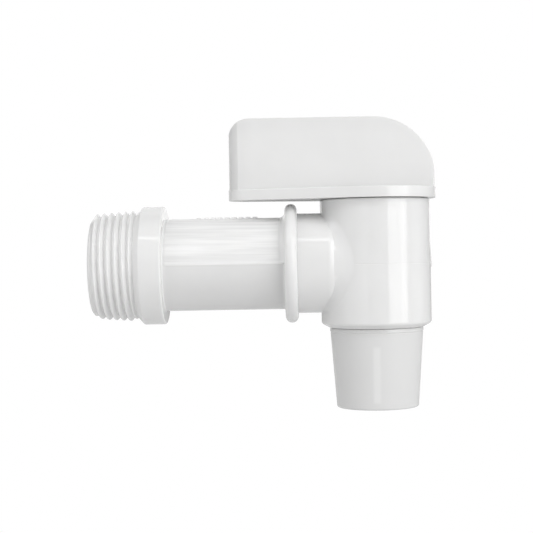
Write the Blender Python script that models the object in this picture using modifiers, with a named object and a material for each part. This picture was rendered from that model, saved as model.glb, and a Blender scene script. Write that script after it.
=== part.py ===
"""Quarter-turn drum tap with a 3/4 inch taper pipe thread, moulded in natural polyethylene.

Metres, +Z up. The origin is on the thread's axis, where the thread meets the wrench collar's cone.
The threaded end points along -X and screws into a drum. The housing stands on the +X side, with its
axis along Z: the lever turns about that axis and the spout points down.
"""
import math

import bmesh
import bpy
from mathutils import Matrix

MM = 0.001

# Driving dimensions
SEGMENTS = 40
SEAL_SEGMENTS = 24
FIT_GAP = 0.3 * MM
MERGE_DISTANCE = 0.001 * MM
OVERCUT = 1.0 * MM
RUNNING_GAP = 0.35 * MM
SOFT_EDGE_ANGLE = 35
SEAL_EDGE_ANGLE = 80
BEVEL_EDGE_ANGLE = 50

BORE_RADIUS = 7.6 * MM

THREAD_PITCH = 25.4 / 14 * MM
THREAD_LENGTH = 11.1 * MM
THREAD_DEPTH = 0.9 * MM
THREAD_ROOT_RADII = (12.3 * MM, 13.05 * MM)
THREAD_LAST_CREST = -1.02 * MM
THREAD_LEAD = 1.2 * MM
THREAD_RUNOUT = 0.9 * MM
THREAD_RINGS_PER_TURN = 5
END_CHAMFER = 0.4 * MM

COLLAR_RADIUS = 14.8 * MM
COLLAR_END = 7.0 * MM
COLLAR_CONE = 1.6 * MM
PIPE_RADIUS = 11.5 * MM
BEAD_START = 37.05 * MM
BEAD_WIDTH = 3.2 * MM
BEAD_RADIUS = 14.95 * MM
SPIGOT_RADIUS = 10.2 * MM
SPIGOT_END = 45.3 * MM

HOUSING_X = 59.9 * MM
HOUSING_RADIUS = 13.85 * MM
HOUSING_TOP = 15.6 * MM
HOUSING_BOTTOM = -16.3 * MM
HOUSING_CHAMFER = (1.9 * MM, 1.05 * MM)
HOUSING_EDGE = 0.6 * MM
HOUSING_ROOF = 3.0 * MM
NECK_RADIUS = 12.55 * MM
NECK_SHOULDER = 47.0 * MM
PASSAGE_RADIUS = 7.4 * MM

PLUG_RADIUS = 10.85 * MM
PLUG_BOTTOM = -11.0 * MM
PLUG_BORE_RADIUS = 7.8 * MM
PLUG_BORE_TOP = 9.8 * MM
PORT_RADIUS = 6.2 * MM
STEM_RADIUS = 5.6 * MM
STEM_SQUARE = 5.4 * MM
STEM_TOP = 25.0 * MM
PLUG_RING_HEIGHT = 9.1 * MM

GROOVE_WIDTH = 1.8 * MM
GROOVE_DEPTH = 1.2 * MM
PLUG_GROOVE_DEPTH = 1.45 * MM

SEAT_BORE_RADIUS = 5.6 * MM
SEAT_FLANGE = 1.1 * MM
SEAT_REACH = 52.1 * MM
SADDLE_HALF_HEIGHT = 9.0 * MM

SPOUT_ROOT_RADIUS = 11.75 * MM
SPOUT_MOUTH_RADIUS = 10.3 * MM
SPOUT_BOTTOM = -36.4 * MM
SPOUT_BORE_RADII = (8.6 * MM, 9.2 * MM)
SPOUT_EDGE = 0.5 * MM
RIB_SIZE = (1.8 * MM, 2.0 * MM, 16.0 * MM)
RIB_CENTRE = (-1.2 * MM, -8.4 * MM, -27.5 * MM)

LEVER_BOTTOM = HOUSING_TOP + FIT_GAP
LEVER_RIM_HEIGHT = 2.75 * MM
LEVER_TOP = 36.35 * MM
LEVER_ROUND_RADIUS = 15.4 * MM
LEVER_TAIL_RADIUS = 5.5 * MM
LEVER_TAIL_X = 28.6 * MM
BLADE_INSET = 0.2 * MM
BLADE_ROUND_X = 59.5 * MM
BLADE_THICKNESS = 9.0 * MM
BLADE_WALL = 2.0 * MM
BLADE_BORDER = 3.0 * MM
BLADE_EDGE = 0.6 * MM
HUB_HALF_LENGTH = 6.2 * MM

# Places that follow from the driving dimensions
NECK_START = BEAD_START + BEAD_WIDTH + FIT_GAP
NECK_BORE_RADIUS = SPIGOT_RADIUS + FIT_GAP
HOUSING_BORE_RADIUS = PLUG_RADIUS + RUNNING_GAP
PLUG_TOP = HOUSING_TOP - HOUSING_ROOF - FIT_GAP
SPIGOT_GROOVE_X = 43.0 * MM
SPOUT_SHOULDER = HOUSING_BOTTOM - FIT_GAP
SPOUT_SPIGOT_TOP = PLUG_BOTTOM - FIT_GAP
SPOUT_SPIGOT_RADIUS = HOUSING_BORE_RADIUS - FIT_GAP

NATURAL = (0.86, 0.86, 0.85, 1.0)
SEAL_BLACK = (0.03, 0.03, 0.03, 1.0)
SEAT_WHITE = (0.75, 0.75, 0.72, 1.0)

AROUND_X = Matrix.Rotation(math.radians(90), 4, "Y")
AT_HOUSING = Matrix.Translation((HOUSING_X, 0, 0))


def clear_scene():
    """Remove every object of the scene, and start with two empty collections."""
    for item in list(bpy.data.objects):
        bpy.data.objects.remove(item, do_unlink=True)
    groups = []
    for name in ("drum_tap", "drum_tap_cutters"):
        group = bpy.data.collections.new(name)
        bpy.context.scene.collection.children.link(group)
        groups.append(group)
    return groups


PARTS, CUTTERS = clear_scene()


def plastic(name, colour, roughness):
    """A Principled BSDF material with one colour and roughness."""
    made = bpy.data.materials.new(name)
    made.use_nodes = True
    shader = made.node_tree.nodes["Principled BSDF"]
    shader.inputs["Base Color"].default_value = colour
    shader.inputs["Roughness"].default_value = roughness
    shader.inputs["Metallic"].default_value = 0.0
    return made


def arc(centre, radius, start, end, steps):
    """Points (along, out) on an arc about centre, from one angle to another, in degrees."""
    points = []
    for step in range(steps + 1):
        angle = math.radians(start + (end - start) * step / steps)
        points.append((centre[0] + radius * math.cos(angle), centre[1] + radius * math.sin(angle)))
    return points


def baked_mesh(item):
    """The evaluated mesh of an object that is then removed, with its seam welded."""
    bpy.context.view_layer.update()
    seen = item.evaluated_get(bpy.context.evaluated_depsgraph_get())
    mesh = bpy.data.meshes.new_from_object(seen)
    bpy.data.objects.remove(item, do_unlink=True)
    shape = bmesh.new()
    shape.from_mesh(mesh)
    bmesh.ops.remove_doubles(shape, verts=shape.verts, dist=MERGE_DISTANCE)
    bmesh.ops.dissolve_degenerate(shape, edges=shape.edges, dist=MERGE_DISTANCE)
    shape.to_mesh(mesh)
    shape.free()
    return mesh


def place(name, mesh, group, place_at=Matrix.Identity(4)):
    """An object made from a mesh, moved to its place and linked to a collection."""
    mesh.transform(place_at)
    mesh.name = name
    item = bpy.data.objects.new(name, mesh)
    group.objects.link(item)
    if group is CUTTERS:
        item.hide_render = True
        item.display_type = "WIRE"
    return item


def turned(name, outer, inner, place_at, group=PARTS, segments=SEGMENTS):
    """A turned body from (along, radius) points, both lists running from low to high.

    With no inner points the body is solid, and its profile is closed on the axis.
    """
    if inner:
        profile = list(reversed(outer)) + list(inner)
    else:
        profile = [(outer[-1][0], 0.0)] + list(reversed(outer)) + [(outer[0][0], 0.0)]
    mesh = bpy.data.meshes.new(name + "_profile")
    edges = [(i, i + 1) for i in range(len(profile) - 1)]
    if inner:
        edges.append((len(profile) - 1, 0))
    mesh.from_pydata([(radius, 0.0, along) for along, radius in profile], edges, [])
    item = bpy.data.objects.new(name + "_profile", mesh)
    PARTS.objects.link(item)
    screw = item.modifiers.new("turn", "SCREW")
    screw.steps = segments
    screw.render_steps = segments
    screw.use_merge_vertices = True
    screw.merge_threshold = MERGE_DISTANCE
    return place(name, baked_mesh(item), group, place_at)


def plate(name, outline, half_thickness, place_at, group=PARTS):
    """A flat outline of (x, y) points, given a thickness along Z."""
    flat = bpy.data.curves.new(name + "_outline", "CURVE")
    flat.dimensions = "2D"
    flat.fill_mode = "BOTH"
    flat.extrude = half_thickness
    spline = flat.splines.new("POLY")
    spline.points.add(len(outline) - 1)
    for point, (x, y) in zip(spline.points, outline):
        point.co = (x, y, 0.0, 1.0)
    spline.use_cyclic_u = True
    item = bpy.data.objects.new(name + "_outline", flat)
    PARTS.objects.link(item)
    return place(name, baked_mesh(item), group, place_at)


def block(name, low, high, group=CUTTERS):
    """A box between two corners."""
    shape = bmesh.new()
    bmesh.ops.create_cube(shape, size=1.0)
    size = [b - a for a, b in zip(low, high)]
    centre = [(a + b) / 2 for a, b in zip(low, high)]
    bmesh.ops.scale(shape, vec=size, verts=shape.verts)
    bmesh.ops.translate(shape, vec=centre, verts=shape.verts)
    mesh = bpy.data.meshes.new(name)
    shape.to_mesh(mesh)
    shape.free()
    return place(name, mesh, group)


def combine(item, other, operation):
    """Give an object a Boolean with another object, which becomes a hidden guide."""
    change = item.modifiers.new(other.name, "BOOLEAN")
    change.operation = operation
    change.solver = "EXACT"
    change.object = other


def round_edges(item, width):
    """Round the sharp edges of an object."""
    bevel = item.modifiers.new("edges", "BEVEL")
    bevel.width = width
    bevel.segments = 2
    bevel.limit_method = "ANGLE"
    bevel.angle_limit = math.radians(BEVEL_EDGE_ANGLE)


def finish(item, dressed_in, sharp_angle=SOFT_EDGE_ANGLE):
    """Dress a part in its material and shade it smooth up to a sharp edge."""
    item.data.materials.clear()
    item.data.materials.append(dressed_in)
    item.data.shade_smooth()
    item.data.set_sharp_from_angle(angle=math.radians(sharp_angle))


def hang_on_axis(item):
    """Put a turning part's origin on the lever's axis, leaving its shape where it is."""
    item.data.transform(AT_HOUSING.inverted())
    item.matrix_world = AT_HOUSING


def groove(centre, radius, depth):
    """The four points of a seal groove in an outer profile."""
    low = centre - GROOVE_WIDTH / 2
    high = centre + GROOVE_WIDTH / 2
    return [(low, radius), (low, radius - depth), (high, radius - depth), (high, radius)]


def thread_rings():
    """The root circles that carry the thread, from its free end to the collar."""
    count = round(THREAD_LENGTH / THREAD_PITCH * THREAD_RINGS_PER_TURN)
    small, large = THREAD_ROOT_RADII
    rings = []
    for step in range(1, count + 1):
        share = step / count
        rings.append((-THREAD_LENGTH * (1 - share), small + (large - small) * share))
    return rings


def raise_thread(mesh):
    """Lift the root circles into a right-handed thread that fades at both ends."""
    for vertex in mesh.vertices:
        x, y, z = vertex.co
        radius = math.hypot(y, z)
        on_thread = -THREAD_LENGTH < x < 0 and radius > THREAD_ROOT_RADII[0] - END_CHAMFER / 2
        if not on_thread:
            continue
        turn = math.atan2(z, y) / math.tau - 0.25
        phase = (x - THREAD_LAST_CREST) / THREAD_PITCH - turn
        wave = 0.5 + 0.5 * math.cos(math.tau * phase)
        fade = min(1.0, (x + THREAD_LENGTH) / THREAD_LEAD, -x / THREAD_RUNOUT)
        lift = 1 + THREAD_DEPTH * wave * max(fade, 0.0) / radius
        vertex.co.y = y * lift
        vertex.co.z = z * lift


def make_inlet_barrel(dressed_in):
    """The threaded end, wrench collar, pipe and stop bead, with the spigot that enters the neck."""
    bead_round = BEAD_WIDTH / 2
    bead_middle = BEAD_START + bead_round
    outer = [(-THREAD_LENGTH, THREAD_ROOT_RADII[0] - END_CHAMFER)]
    outer += thread_rings()
    outer += [(COLLAR_CONE, COLLAR_RADIUS)]
    outer += arc((COLLAR_END - END_CHAMFER, COLLAR_RADIUS - END_CHAMFER), END_CHAMFER, 90, 0, 2)
    outer += [(COLLAR_END, PIPE_RADIUS), (BEAD_START, PIPE_RADIUS)]
    outer += arc((bead_middle, BEAD_RADIUS - bead_round), bead_round, 180, 0, 8)
    outer += [(BEAD_START + BEAD_WIDTH, SPIGOT_RADIUS)]
    outer += groove(SPIGOT_GROOVE_X, SPIGOT_RADIUS, GROOVE_DEPTH)
    outer += [(SPIGOT_END, SPIGOT_RADIUS)]
    inner = [(-THREAD_LENGTH, BORE_RADIUS), (SPIGOT_END, BORE_RADIUS)]
    barrel = turned("inlet_barrel", outer, inner, AROUND_X)
    raise_thread(barrel.data)
    finish(barrel, dressed_in)


def make_valve_body(dressed_in):
    """The upright housing with its socket neck, bored for the plug, the stem and the barrel."""
    chamfer_out, chamfer_up = HOUSING_CHAMFER
    outer = [(HOUSING_BOTTOM, HOUSING_RADIUS - chamfer_out)]
    outer += [(HOUSING_BOTTOM + chamfer_up, HOUSING_RADIUS)]
    outer += arc((HOUSING_TOP - HOUSING_EDGE, HOUSING_RADIUS - HOUSING_EDGE), HOUSING_EDGE, 90, 0, 3)
    body = turned("valve_body", outer, [], AT_HOUSING)
    neck_profile = [(NECK_START, NECK_RADIUS), (HOUSING_X, NECK_RADIUS)]
    neck = turned("body_neck", neck_profile, [], AROUND_X, CUTTERS)
    roof = HOUSING_TOP - HOUSING_ROOF
    hole_radius = STEM_RADIUS + FIT_GAP
    bore_profile = [(HOUSING_BOTTOM - OVERCUT, HOUSING_BORE_RADIUS), (roof, HOUSING_BORE_RADIUS)]
    bore_profile += [(roof, hole_radius), (HOUSING_TOP + OVERCUT, hole_radius)]
    bore = turned("body_bore", bore_profile, [], AT_HOUSING, CUTTERS)
    socket_profile = [(NECK_START - OVERCUT, NECK_BORE_RADIUS), (NECK_SHOULDER, NECK_BORE_RADIUS)]
    socket_profile += [(NECK_SHOULDER, PASSAGE_RADIUS), (HOUSING_X - PORT_RADIUS, PASSAGE_RADIUS)]
    socket = turned("body_socket", socket_profile, [], AROUND_X, CUTTERS)
    combine(body, neck, "UNION")
    combine(body, bore, "DIFFERENCE")
    combine(body, socket, "DIFFERENCE")
    finish(body, dressed_in)


def make_valve_plug(dressed_in):
    """The hollow plug with its side port, seal grooves and square drive stem."""
    outer = [(PLUG_BOTTOM, PLUG_RADIUS)]
    outer += groove(-PLUG_RING_HEIGHT, PLUG_RADIUS, PLUG_GROOVE_DEPTH)
    outer += groove(PLUG_RING_HEIGHT, PLUG_RADIUS, PLUG_GROOVE_DEPTH)
    outer += [(PLUG_TOP, PLUG_RADIUS), (PLUG_TOP, STEM_RADIUS), (HOUSING_TOP, STEM_RADIUS)]
    plug = turned("valve_plug", outer, [], AT_HOUSING)
    bore_profile = [(PLUG_BOTTOM - OVERCUT, PLUG_BORE_RADIUS), (PLUG_BORE_TOP, PLUG_BORE_RADIUS)]
    bore = turned("plug_bore", bore_profile, [], AT_HOUSING, CUTTERS)
    port_profile = [(HOUSING_X - PLUG_RADIUS - OVERCUT, PORT_RADIUS), (HOUSING_X, PORT_RADIUS)]
    port = turned("plug_port", port_profile, [], AROUND_X, CUTTERS)
    half = STEM_SQUARE / 2
    stem_low = (HOUSING_X - half, -half, PLUG_TOP)
    stem = block("plug_stem", stem_low, (HOUSING_X + half, half, STEM_TOP))
    combine(plug, bore, "DIFFERENCE")
    combine(plug, port, "DIFFERENCE")
    combine(plug, stem, "UNION")
    finish(plug, dressed_in)
    hang_on_axis(plug)


def make_seal(name, middle_radius, section_radius, place_at, dressed_in):
    """A round sealing ring, drawn at its squeezed section."""
    section = arc((0.0, middle_radius), section_radius, 180, 0, 4)
    inside = arc((0.0, middle_radius), section_radius, 180, 360, 4)[1:-1]
    ring = turned(name, section, inside, place_at, segments=SEAL_SEGMENTS)
    finish(ring, dressed_in, sharp_angle=SEAL_EDGE_ANGLE)
    return ring


def make_seat_ring(dressed_in):
    """The saddle seat that the barrel's end holds against the plug."""
    start = SPIGOT_END + FIT_GAP
    tube_radius = PASSAGE_RADIUS - FIT_GAP
    outer = [(start, NECK_BORE_RADIUS - 2 * FIT_GAP)]
    outer += [(start + SEAT_FLANGE, NECK_BORE_RADIUS - 2 * FIT_GAP)]
    outer += [(start + SEAT_FLANGE, tube_radius), (SEAT_REACH, tube_radius)]
    inner = [(start, SEAT_BORE_RADIUS), (SEAT_REACH, SEAT_BORE_RADIUS)]
    seat = turned("seat_ring", outer, inner, AROUND_X)
    saddle_radius = PLUG_RADIUS + FIT_GAP
    saddle_profile = [(-SADDLE_HALF_HEIGHT, saddle_radius), (SADDLE_HALF_HEIGHT, saddle_radius)]
    saddle = turned("seat_saddle", saddle_profile, [], AT_HOUSING, CUTTERS)
    combine(seat, saddle, "DIFFERENCE")
    finish(seat, dressed_in)


def make_outlet_nozzle(dressed_in):
    """The tapered spout, with the spigot that closes the housing and a rib in its bore."""
    small, large = SPOUT_BORE_RADII
    outer = arc((SPOUT_BOTTOM + SPOUT_EDGE, SPOUT_MOUTH_RADIUS - SPOUT_EDGE), SPOUT_EDGE, 180, 90, 3)
    outer += [(SPOUT_SHOULDER, SPOUT_ROOT_RADIUS), (SPOUT_SHOULDER, SPOUT_SPIGOT_RADIUS)]
    outer += [(SPOUT_SPIGOT_TOP, SPOUT_SPIGOT_RADIUS)]
    inner = [(SPOUT_BOTTOM, small), (SPOUT_SPIGOT_TOP, large)]
    nozzle = turned("outlet_nozzle", outer, inner, AT_HOUSING)
    centre = [RIB_CENTRE[0] + HOUSING_X, RIB_CENTRE[1], RIB_CENTRE[2]]
    low = [at - size / 2 for at, size in zip(centre, RIB_SIZE)]
    high = [at + size / 2 for at, size in zip(centre, RIB_SIZE)]
    rib = block("nozzle_rib", low, high)
    combine(nozzle, rib, "UNION")
    finish(nozzle, dressed_in)


def teardrop(inset):
    """The lever's outline seen from above: a round over the housing that narrows to its tail."""
    reach = HOUSING_X - LEVER_TAIL_X
    lean = math.degrees(math.acos((LEVER_ROUND_RADIUS - LEVER_TAIL_RADIUS) / reach))
    middle = (HOUSING_X, 0.0)
    radius = LEVER_ROUND_RADIUS - inset
    outline = arc(middle, radius, lean - 180, -90, 2)[:-1]
    outline += arc(middle, radius, -90, 90, 14)[:-1]
    outline += arc(middle, radius, 90, 180 - lean, 2)
    outline += arc((LEVER_TAIL_X, 0.0), LEVER_TAIL_RADIUS - inset, 180 - lean, 180 + lean, 8)
    return outline


def blade_outline():
    """The blade's outline seen from the side: x, then height."""
    left = LEVER_TAIL_X - LEVER_TAIL_RADIUS
    corner = LEVER_TAIL_RADIUS
    low = LEVER_BOTTOM + LEVER_RIM_HEIGHT / 2
    outline = [(left, low), (BLADE_ROUND_X + LEVER_ROUND_RADIUS, low)]
    outline += arc((BLADE_ROUND_X, LEVER_TOP - LEVER_ROUND_RADIUS), LEVER_ROUND_RADIUS, 0, 90, 12)
    outline += arc((left + corner, LEVER_TOP - corner), corner, 90, 180, 6)
    return outline


def make_lever_handle(dressed_in):
    """The rimmed base and the upright blade, cored out from below, with the square drive socket."""
    upright = Matrix.Rotation(math.radians(90), 4, "X")
    middle = LEVER_BOTTOM + LEVER_RIM_HEIGHT / 2
    lift = Matrix.Translation((0, 0, middle))
    lever = plate("lever_handle", teardrop(0.0), LEVER_RIM_HEIGHT / 2, lift)
    blade = plate("lever_blade", blade_outline(), BLADE_THICKNESS / 2, upright, CUTTERS)
    tall = LEVER_TOP - LEVER_BOTTOM
    limit_lift = Matrix.Translation((0, 0, LEVER_BOTTOM + tall / 2))
    limit = plate("blade_limit", teardrop(BLADE_INSET), tall, limit_lift, CUTTERS)
    combine(blade, limit, "INTERSECT")
    round_edges(blade, BLADE_EDGE)
    half = BLADE_THICKNESS / 2 - BLADE_WALL
    below = LEVER_BOTTOM - OVERCUT
    tail_low = (LEVER_TAIL_X - LEVER_TAIL_RADIUS + BLADE_BORDER, -half, below)
    tail_high = (HOUSING_X - HUB_HALF_LENGTH, half, LEVER_TOP - BLADE_BORDER)
    tail_pocket = block("tail_pocket", tail_low, tail_high)
    nose_reach = LEVER_ROUND_RADIUS - BLADE_BORDER - BLADE_WALL / 2
    nose_top = LEVER_TOP - LEVER_ROUND_RADIUS + HUB_HALF_LENGTH
    nose_low = (HOUSING_X + HUB_HALF_LENGTH, -half, below)
    nose_pocket = block("nose_pocket", nose_low, (HOUSING_X + nose_reach, half, nose_top))
    half_socket = STEM_SQUARE / 2 + FIT_GAP
    socket_low = (HOUSING_X - half_socket, -half_socket, below)
    socket_high = (HOUSING_X + half_socket, half_socket, STEM_TOP + FIT_GAP)
    socket = block("drive_socket", socket_low, socket_high)
    combine(lever, blade, "UNION")
    for cutter in (tail_pocket, nose_pocket, socket):
        combine(lever, cutter, "DIFFERENCE")
    finish(lever, dressed_in)
    hang_on_axis(lever)


def main():
    """Make the nine nodes."""
    natural = plastic("natural_polyethylene", NATURAL, 0.35)
    black = plastic("seal_rubber", SEAL_BLACK, 0.6)
    white = plastic("seat_elastomer", SEAT_WHITE, 0.5)
    make_inlet_barrel(natural)
    make_valve_body(natural)
    make_valve_plug(natural)
    make_outlet_nozzle(natural)
    make_lever_handle(natural)
    make_seat_ring(white)
    spigot_section = (GROOVE_DEPTH - FIT_GAP) / 2
    spigot_middle = SPIGOT_RADIUS - spigot_section
    on_spigot = Matrix.Translation((SPIGOT_GROOVE_X, 0, 0)) @ AROUND_X
    make_seal("barrel_oring", spigot_middle, spigot_section, on_spigot, black)
    plug_section = GROOVE_WIDTH / 2 - FIT_GAP
    plug_middle = HOUSING_BORE_RADIUS - FIT_GAP - plug_section
    for name, height in (("plug_oring_upper", PLUG_RING_HEIGHT), ("plug_oring_lower", -PLUG_RING_HEIGHT)):
        on_plug = AT_HOUSING @ Matrix.Translation((0, 0, height))
        hang_on_axis(make_seal(name, plug_middle, plug_section, on_plug, black))


main()
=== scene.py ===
"""Looks of a quarter-turn drum tap, moulded in natural polyethylene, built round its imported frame.

Metres, +Z up. The inlet's axis is X, with the thread towards -X. The housing, the plug, the spout and
the lever share an upright axis, and the lever turns about it.
"""
import logging
import math
from dataclasses import dataclass
from enum import Enum
from typing import ClassVar

import bpy
from mathutils import Matrix, Vector


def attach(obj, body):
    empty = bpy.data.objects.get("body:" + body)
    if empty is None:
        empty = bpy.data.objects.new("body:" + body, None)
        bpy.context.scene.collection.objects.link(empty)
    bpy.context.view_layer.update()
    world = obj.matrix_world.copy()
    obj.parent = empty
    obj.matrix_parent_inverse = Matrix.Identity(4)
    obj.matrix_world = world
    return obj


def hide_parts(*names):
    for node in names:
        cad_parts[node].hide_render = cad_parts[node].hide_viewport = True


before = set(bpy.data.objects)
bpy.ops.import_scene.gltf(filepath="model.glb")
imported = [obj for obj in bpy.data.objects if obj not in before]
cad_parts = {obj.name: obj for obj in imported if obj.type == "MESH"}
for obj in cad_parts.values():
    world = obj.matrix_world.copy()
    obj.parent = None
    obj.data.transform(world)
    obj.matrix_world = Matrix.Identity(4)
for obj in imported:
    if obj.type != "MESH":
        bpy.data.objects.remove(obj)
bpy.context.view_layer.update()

log = logging.getLogger("drum_tap")

MM = 0.001
MERGE = 0.0005 * MM
HEAL = 0.001 * MM
HOUSING_X = 59.9
Corner = tuple[float, float, float]
Point = tuple[float, float]
Point3 = tuple[float, float, float]
Socket = bpy.types.NodeSocket
Solid = bpy.types.Object


class Way(Enum):
    """The axis that a turned piece is spun about."""

    INLET = "along X through the origin"
    UPRIGHT = "along Z through the housing"


class Cut(Enum):
    """How one solid changes another."""

    ADD = "UNION"
    REMOVE = "DIFFERENCE"
    KEEP_SHARED = "INTERSECT"


class Grain(Enum):
    """The surface that a mould leaves on a piece."""

    SATIN = "fine even satin"
    DRAWN = "fine satin, with lengthwise streaks on the pipe's upper half"


def rounded_path(corners: list[Corner], closed: bool, steps: int = 5) -> list[Point]:
    """Round the corners of a path.

    Args:
        corners: (along, out, fillet radius) for each corner, in millimetres.
        closed: Whether the last corner joins the first.
        steps: How many chords each fillet has.

    Returns:
        The path's points as (along, out), in millimetres.
    """
    path: list[Point] = []
    count = len(corners)
    for i, (along, out, radius) in enumerate(corners):
        at_end = not closed and i in (0, count - 1)
        if radius <= 0 or at_end:
            path.append((along, out))
            continue
        here = Vector((along, out))
        back = (Vector(corners[i - 1][:2]) - here).normalized()
        ahead = (Vector(corners[(i + 1) % count][:2]) - here).normalized()
        half = back.angle(ahead) / 2
        centre = here + (back + ahead).normalized() * radius / math.sin(half)
        first = here + back * radius / math.tan(half) - centre
        last = here + ahead * radius / math.tan(half) - centre
        turn = first.angle_signed(last)
        for step in range(steps + 1):
            spoke = Matrix.Rotation(-turn * step / steps, 2) @ first
            path.append(tuple(centre + spoke))
    return path


def arc(centre: Point, radius: float, start: float, end: float, steps: int) -> list[Point]:
    """Points on an arc.

    Args:
        centre: The arc's centre, in millimetres.
        radius: Its radius, in millimetres.
        start: The angle of its first point, in degrees.
        end: The angle of its last point, in degrees.
        steps: How many chords it has.

    Returns:
        The arc's points, in millimetres.
    """
    angles = [math.radians(start + (end - start) * step / steps) for step in range(steps + 1)]
    return [(centre[0] + radius * math.cos(a), centre[1] + radius * math.sin(a)) for a in angles]


class Bench:
    """The hand tools that shape every piece in edit mode."""

    @staticmethod
    def take(item: Solid) -> None:
        """Select one object alone and make it active."""
        bpy.ops.object.select_all(action="DESELECT")
        item.select_set(True)
        bpy.context.view_layer.objects.active = item

    @staticmethod
    def chain(name: str, points: list[Vector], closed: bool) -> Solid:
        """Extrude a string of vertices, one after another, and stay in edit mode.

        Args:
            name: The new object's name.
            points: Where the vertices go, in metres.
            closed: Whether the last vertex is joined to the first.

        Returns:
            The object, with every vertex selected.
        """
        bpy.ops.object.select_all(action="DESELECT")
        bpy.ops.mesh.primitive_plane_add(size=MM, location=points[0])
        item = bpy.context.object
        item.name = name
        item.data.name = name
        bpy.ops.object.transform_apply(location=True, rotation=True, scale=True)
        bpy.ops.object.mode_set(mode="EDIT")
        bpy.ops.mesh.select_mode(type="VERT")
        bpy.ops.mesh.select_all(action="SELECT")
        bpy.ops.mesh.merge(type="CENTER")
        for here, there in zip(points, points[1:]):
            bpy.ops.mesh.extrude_vertices_move(TRANSFORM_OT_translate={"value": there - here})
        if closed:
            bpy.ops.mesh.extrude_vertices_move(TRANSFORM_OT_translate={"value": points[0] - points[-1]})
        bpy.ops.mesh.select_all(action="SELECT")
        bpy.ops.mesh.remove_doubles(threshold=MERGE)
        bpy.ops.mesh.select_all(action="SELECT")
        return item

    @staticmethod
    def turned(name: str, path: list[Point], way: Way, closed: bool, steps: int = 160) -> Solid:
        """Spin a path round an axis into a closed body.

        Args:
            name: The new object's name.
            path: (along the axis, out from it), in millimetres.
            way: The axis.
            closed: True for a ring with a bore, False for a solid whose path ends on the axis.
            steps: How many sides the turned body has.

        Returns:
            The turned body.
        """
        if way is Way.INLET:
            points = [Vector((along, 0.0, out)) * MM for along, out in path]
            centre, axis = (0.0, 0.0, 0.0), (1.0, 0.0, 0.0)
        else:
            points = [Vector((HOUSING_X + out, 0.0, along)) * MM for along, out in path]
            centre, axis = (HOUSING_X * MM, 0.0, 0.0), (0.0, 0.0, 1.0)
        item = Bench.chain(name, points, closed)
        bpy.ops.mesh.spin(steps=steps, angle=math.tau, center=centre, axis=axis, use_auto_merge=True)
        bpy.ops.mesh.select_all(action="SELECT")
        bpy.ops.mesh.remove_doubles(threshold=MERGE)
        bpy.ops.mesh.dissolve_degenerate(threshold=MERGE)
        bpy.ops.mesh.select_all(action="SELECT")
        bpy.ops.mesh.normals_make_consistent(inside=False)
        bpy.ops.object.mode_set(mode="OBJECT")
        return item

    @staticmethod
    def slab(name: str, outline: list[Vector], through: Vector) -> Solid:
        """Fill a flat outline and extrude it into a slab.

        Args:
            name: The new object's name.
            outline: The outline's corners, in metres.
            through: How far and which way it is extruded, in metres.

        Returns:
            The slab.
        """
        item = Bench.chain(name, outline, closed=True)
        bpy.ops.mesh.edge_face_add()
        bpy.ops.mesh.extrude_region_move(TRANSFORM_OT_translate={"value": through})
        bpy.ops.mesh.select_all(action="SELECT")
        bpy.ops.mesh.normals_make_consistent(inside=False)
        bpy.ops.object.mode_set(mode="OBJECT")
        return item

    @staticmethod
    def brick(name: str, low: Point3, high: Point3, edge: float = 0.0) -> Solid:
        """A box between two corners, with its edges bevelled where an edge width is given.

        Args:
            name: The new object's name.
            low: The lowest corner, in millimetres.
            high: The highest corner, in millimetres.
            edge: The bevel's width, in millimetres.

        Returns:
            The box.
        """
        lowest, highest = Vector(low) * MM, Vector(high) * MM
        bpy.ops.object.select_all(action="DESELECT")
        bpy.ops.mesh.primitive_cube_add(size=1.0, location=(lowest + highest) / 2, scale=highest - lowest)
        item = bpy.context.object
        item.name = name
        bpy.ops.object.transform_apply(location=True, rotation=True, scale=True)
        if edge > 0:
            bpy.ops.object.mode_set(mode="EDIT")
            bpy.ops.mesh.select_all(action="SELECT")
            bpy.ops.mesh.bevel(offset=edge * MM, segments=3, affect="EDGES")
            bpy.ops.object.mode_set(mode="OBJECT")
        return item

    @staticmethod
    def apply(item: Solid, modifier: bpy.types.Modifier) -> None:
        """Apply one modifier."""
        Bench.take(item)
        bpy.ops.object.modifier_apply(modifier=modifier.name)

    @staticmethod
    def combine(item: Solid, tool: Solid, cut: Cut) -> None:
        """Change a solid by another one, which is used up.

        Args:
            item: The solid that is changed.
            tool: The solid that changes it.
            cut: What is done.
        """
        change = item.modifiers.new(tool.name, "BOOLEAN")
        change.operation = cut.value
        change.solver = "EXACT"
        change.object = tool
        Bench.apply(item, change)
        bpy.data.objects.remove(tool, do_unlink=True)

    @staticmethod
    def hollow(item: Solid, name: str, corners: list[Corner], way: Way, steps: int) -> None:
        """Turn a hollow out of a solid.

        Args:
            item: The solid.
            name: The cutter's name.
            corners: The hollow's profile, from the axis out and back to the axis.
            way: The axis.
            steps: How many sides the hollow has.
        """
        cutter = Bench.turned(name, rounded_path(corners, False), way, closed=False, steps=steps)
        Bench.combine(item, cutter, Cut.REMOVE)

    @staticmethod
    def join(items: list[Solid]) -> Solid:
        """Join objects that don't touch into the first of them."""
        bpy.ops.object.select_all(action="DESELECT")
        for item in items:
            item.select_set(True)
        bpy.context.view_layer.objects.active = items[0]
        bpy.ops.object.join()
        return items[0]

    @staticmethod
    def round_edges(item: Solid, width: float, segments: int = 4, angle: float = 40.0) -> None:
        """Round an object's sharp edges.

        Args:
            item: The object.
            width: How wide the rounding is, in millimetres.
            segments: How many faces it has across.
            angle: The least angle of an edge that is rounded, in degrees.
        """
        bevel = item.modifiers.new("rounding", "BEVEL")
        bevel.width = width * MM
        bevel.segments = segments
        bevel.limit_method = "ANGLE"
        bevel.angle_limit = math.radians(angle)
        bevel.use_clamp_overlap = True
        Bench.apply(item, bevel)

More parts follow.
